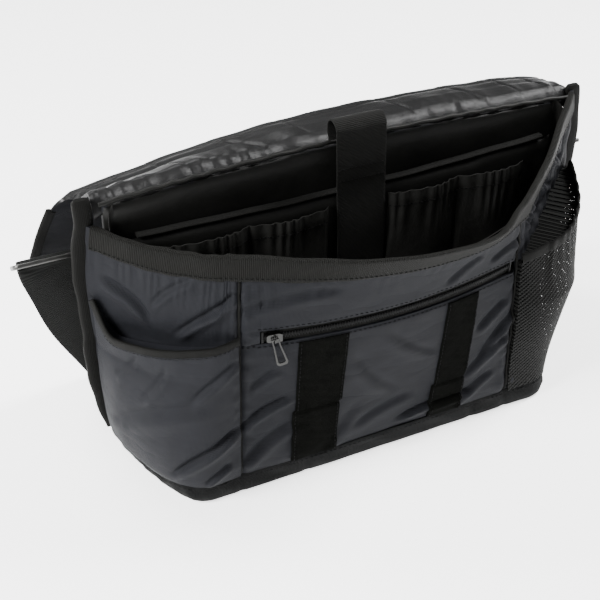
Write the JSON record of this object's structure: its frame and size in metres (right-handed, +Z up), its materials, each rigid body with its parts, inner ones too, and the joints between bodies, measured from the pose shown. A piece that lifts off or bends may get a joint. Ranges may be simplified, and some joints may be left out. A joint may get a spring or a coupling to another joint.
{
  "type": "messenger bag",
  "caption": "Soft laptop messenger bag standing open: folded-back flap, zipped front pocket, side pockets, mesh pocket, padded sleeve with strap, ribbed rim tape.",
  "frame": {"origin": "on the resting plane, under the middle of the base", "axes": "+X along the bag's width to the right as seen from the front, +Y to its back, +Z up"},
  "size_m": [0.5065, 0.2243, 0.2606],
  "materials": {
    "shell": "matte coated weave",
    "boot": "coarse coated weave",
    "tape": "ribbed grosgrain or webbing",
    "lining": "slightly shiny nylon",
    "mesh": "open knit mesh",
    "velcro": "hook and loop pile",
    "metal": "brushed",
    "coil": "moulded",
    "board": "stiff sheet"
  },
  "bodies": {
    "bag": {"front_panel_lower": "shell", "front_panel_upper": "shell", "gusset_left": "shell", "gusset_right": "shell", "front_pocket_lining": "lining", "rim_binding": "tape", "base_boot": "boot", "base_board": "board", "back_panel": "shell", "back_binding_left": "tape", "back_binding_right": "tape", "lining_piping": "lining", "side_pocket_left": "shell", "side_pocket_binding": "tape", "mesh_pocket_right": "mesh", "mesh_pocket_elastic": "tape", "zipper_tape": "tape", "zipper_coil": "coil", "zipper_end_left": "coil", "zipper_end_right": "coil", "loop_strip_left": "velcro", "loop_strip_right": "velcro", "laptop_divider": "lining", "divider_binding": "tape", "organiser_left": "lining", "organiser_right": "lining", "divider_loop_patch": "velcro", "anchor_tab_left": "tape", "anchor_tab_right": "tape"},
    "crest_strip": {"flap_root": "lining"},
    "flap_upper": {"flap_top": "shell", "flap_binding_left": "tape", "flap_binding_right": "tape"},
    "flap_lower": {"flap_front": "shell", "flap_binding_end": "tape", "hook_strip_left": "velcro", "hook_strip_right": "velcro"},
    "slider": {"zipper_slider": "metal"},
    "pull": {"zipper_pull": "metal"},
    "strap": {"sleeve_strap": "tape", "strap_hook_patch": "velcro"},
    "left_ring": {"ring_left": "metal"},
    "right_ring": {"ring_right": "metal"}
  },
  "joints": [
    {"name": "flap_root_hinge", "type": "hinge", "parent": "bag", "child": "crest_strip", "pos_m": [0, 0.0385, 0.2425], "axis": [1, 0, 0], "range_deg": [0, 94]},
    {"name": "flap_crest_hinge", "type": "hinge", "parent": "crest_strip", "child": "flap_upper", "pos_m": [0, 0.07, 0.24], "axis": [1, 0, 0], "range_deg": [0, 172]},
    {"name": "flap_fold_hinge", "type": "hinge", "parent": "flap_upper", "child": "flap_lower", "pos_m": [0, 0.11242, 0.10298], "axis": [1, 0, 0], "range_deg": [0, 75]},
    {"name": "zipper_travel", "type": "hinge", "parent": "bag", "child": "slider", "pos_m": [0, 0.3515, 0.14], "axis": [0, 0, 1], "range_deg": [0, 27]},
    {"name": "zipper_pull_swing", "type": "hinge", "parent": "slider", "child": "pull", "pos_m": [-0.09348, -0.05109, 0.14], "axis": [0.9451, -0.2195, 0.2419], "range_deg": [-100, 0]},
    {"name": "sleeve_strap_swing", "type": "hinge", "parent": "bag", "child": "strap", "pos_m": [0.007, 0.03, 0.2415], "axis": [1, 0, 0], "range_deg": [-70, 0]},
    {"name": "ring_left_swing", "type": "hinge", "parent": "bag", "child": "left_ring", "pos_m": [-0.2185, 0.079, 0.164], "axis": [1, 0, 0], "range_deg": [-30, 30]},
    {"name": "ring_right_swing", "type": "hinge", "parent": "bag", "child": "right_ring", "pos_m": [0.23, 0.089, 0.153], "axis": [1, 0, 0], "range_deg": [-30, 30]}
  ]
}
